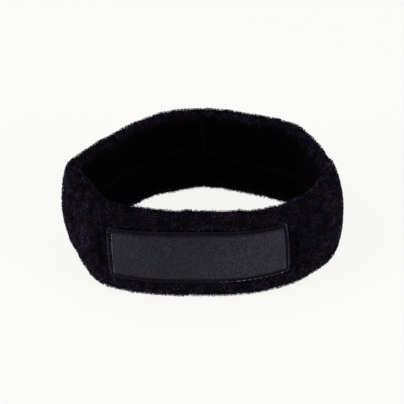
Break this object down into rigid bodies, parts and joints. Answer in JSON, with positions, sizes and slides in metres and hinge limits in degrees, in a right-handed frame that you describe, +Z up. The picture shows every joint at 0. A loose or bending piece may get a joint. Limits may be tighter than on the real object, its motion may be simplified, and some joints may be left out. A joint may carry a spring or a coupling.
{
  "type": "terry headband",
  "caption": "Stretchy terry sweatband for the head: a folded terry sleeve round an elastic strip, seamed along the inside, with a woven panel patch sewn to the front.",
  "frame": {"origin": "on the surface the band stands on, under the middle of its overall box", "axes": "+X across the head to the right of someone looking at the patch, -Y the side with the patch, +Z up"},
  "size_m": [0.153, 0.133, 0.05],
  "materials": {
    "terry": "black cotton terry loops, fully matt and fuzzy",
    "elastic": "woven elastic webbing, matt",
    "thread": "black overlock thread, slight sheen",
    "patch_backing": "black twill, matt",
    "patch_panel": "charcoal woven panel with fine upright ribs, slightly glossy",
    "patch_binding": "dark overlocked edge thread, satin",
    "patch_thread": "grey sewing thread, satin"
  },
  "bodies": {
    "front_half": {"terry_sleeve_front": "terry", "elastic_strip_front": "elastic", "closing_seam_front": "thread", "patch_backing": "patch_backing", "patch_panel": "patch_panel", "patch_edge_binding": "patch_binding", "patch_sewing_line": "patch_thread", "panel_edge_stitching": "patch_thread"},
    "back_half": {"terry_sleeve_back": "terry", "elastic_strip_back": "elastic", "elastic_join_stitching": "thread", "closing_seam_back_right": "thread", "closing_seam_back_left": "thread", "centre_back_join_seam": "thread"}
  },
  "joints": [
    {"name": "girth_stretch", "type": "slide", "parent": "front_half", "child": "back_half", "axis": [0, 1, 0], "range_m": [0, 0.1], "stiffness_N_per_m": 120}
  ]
}
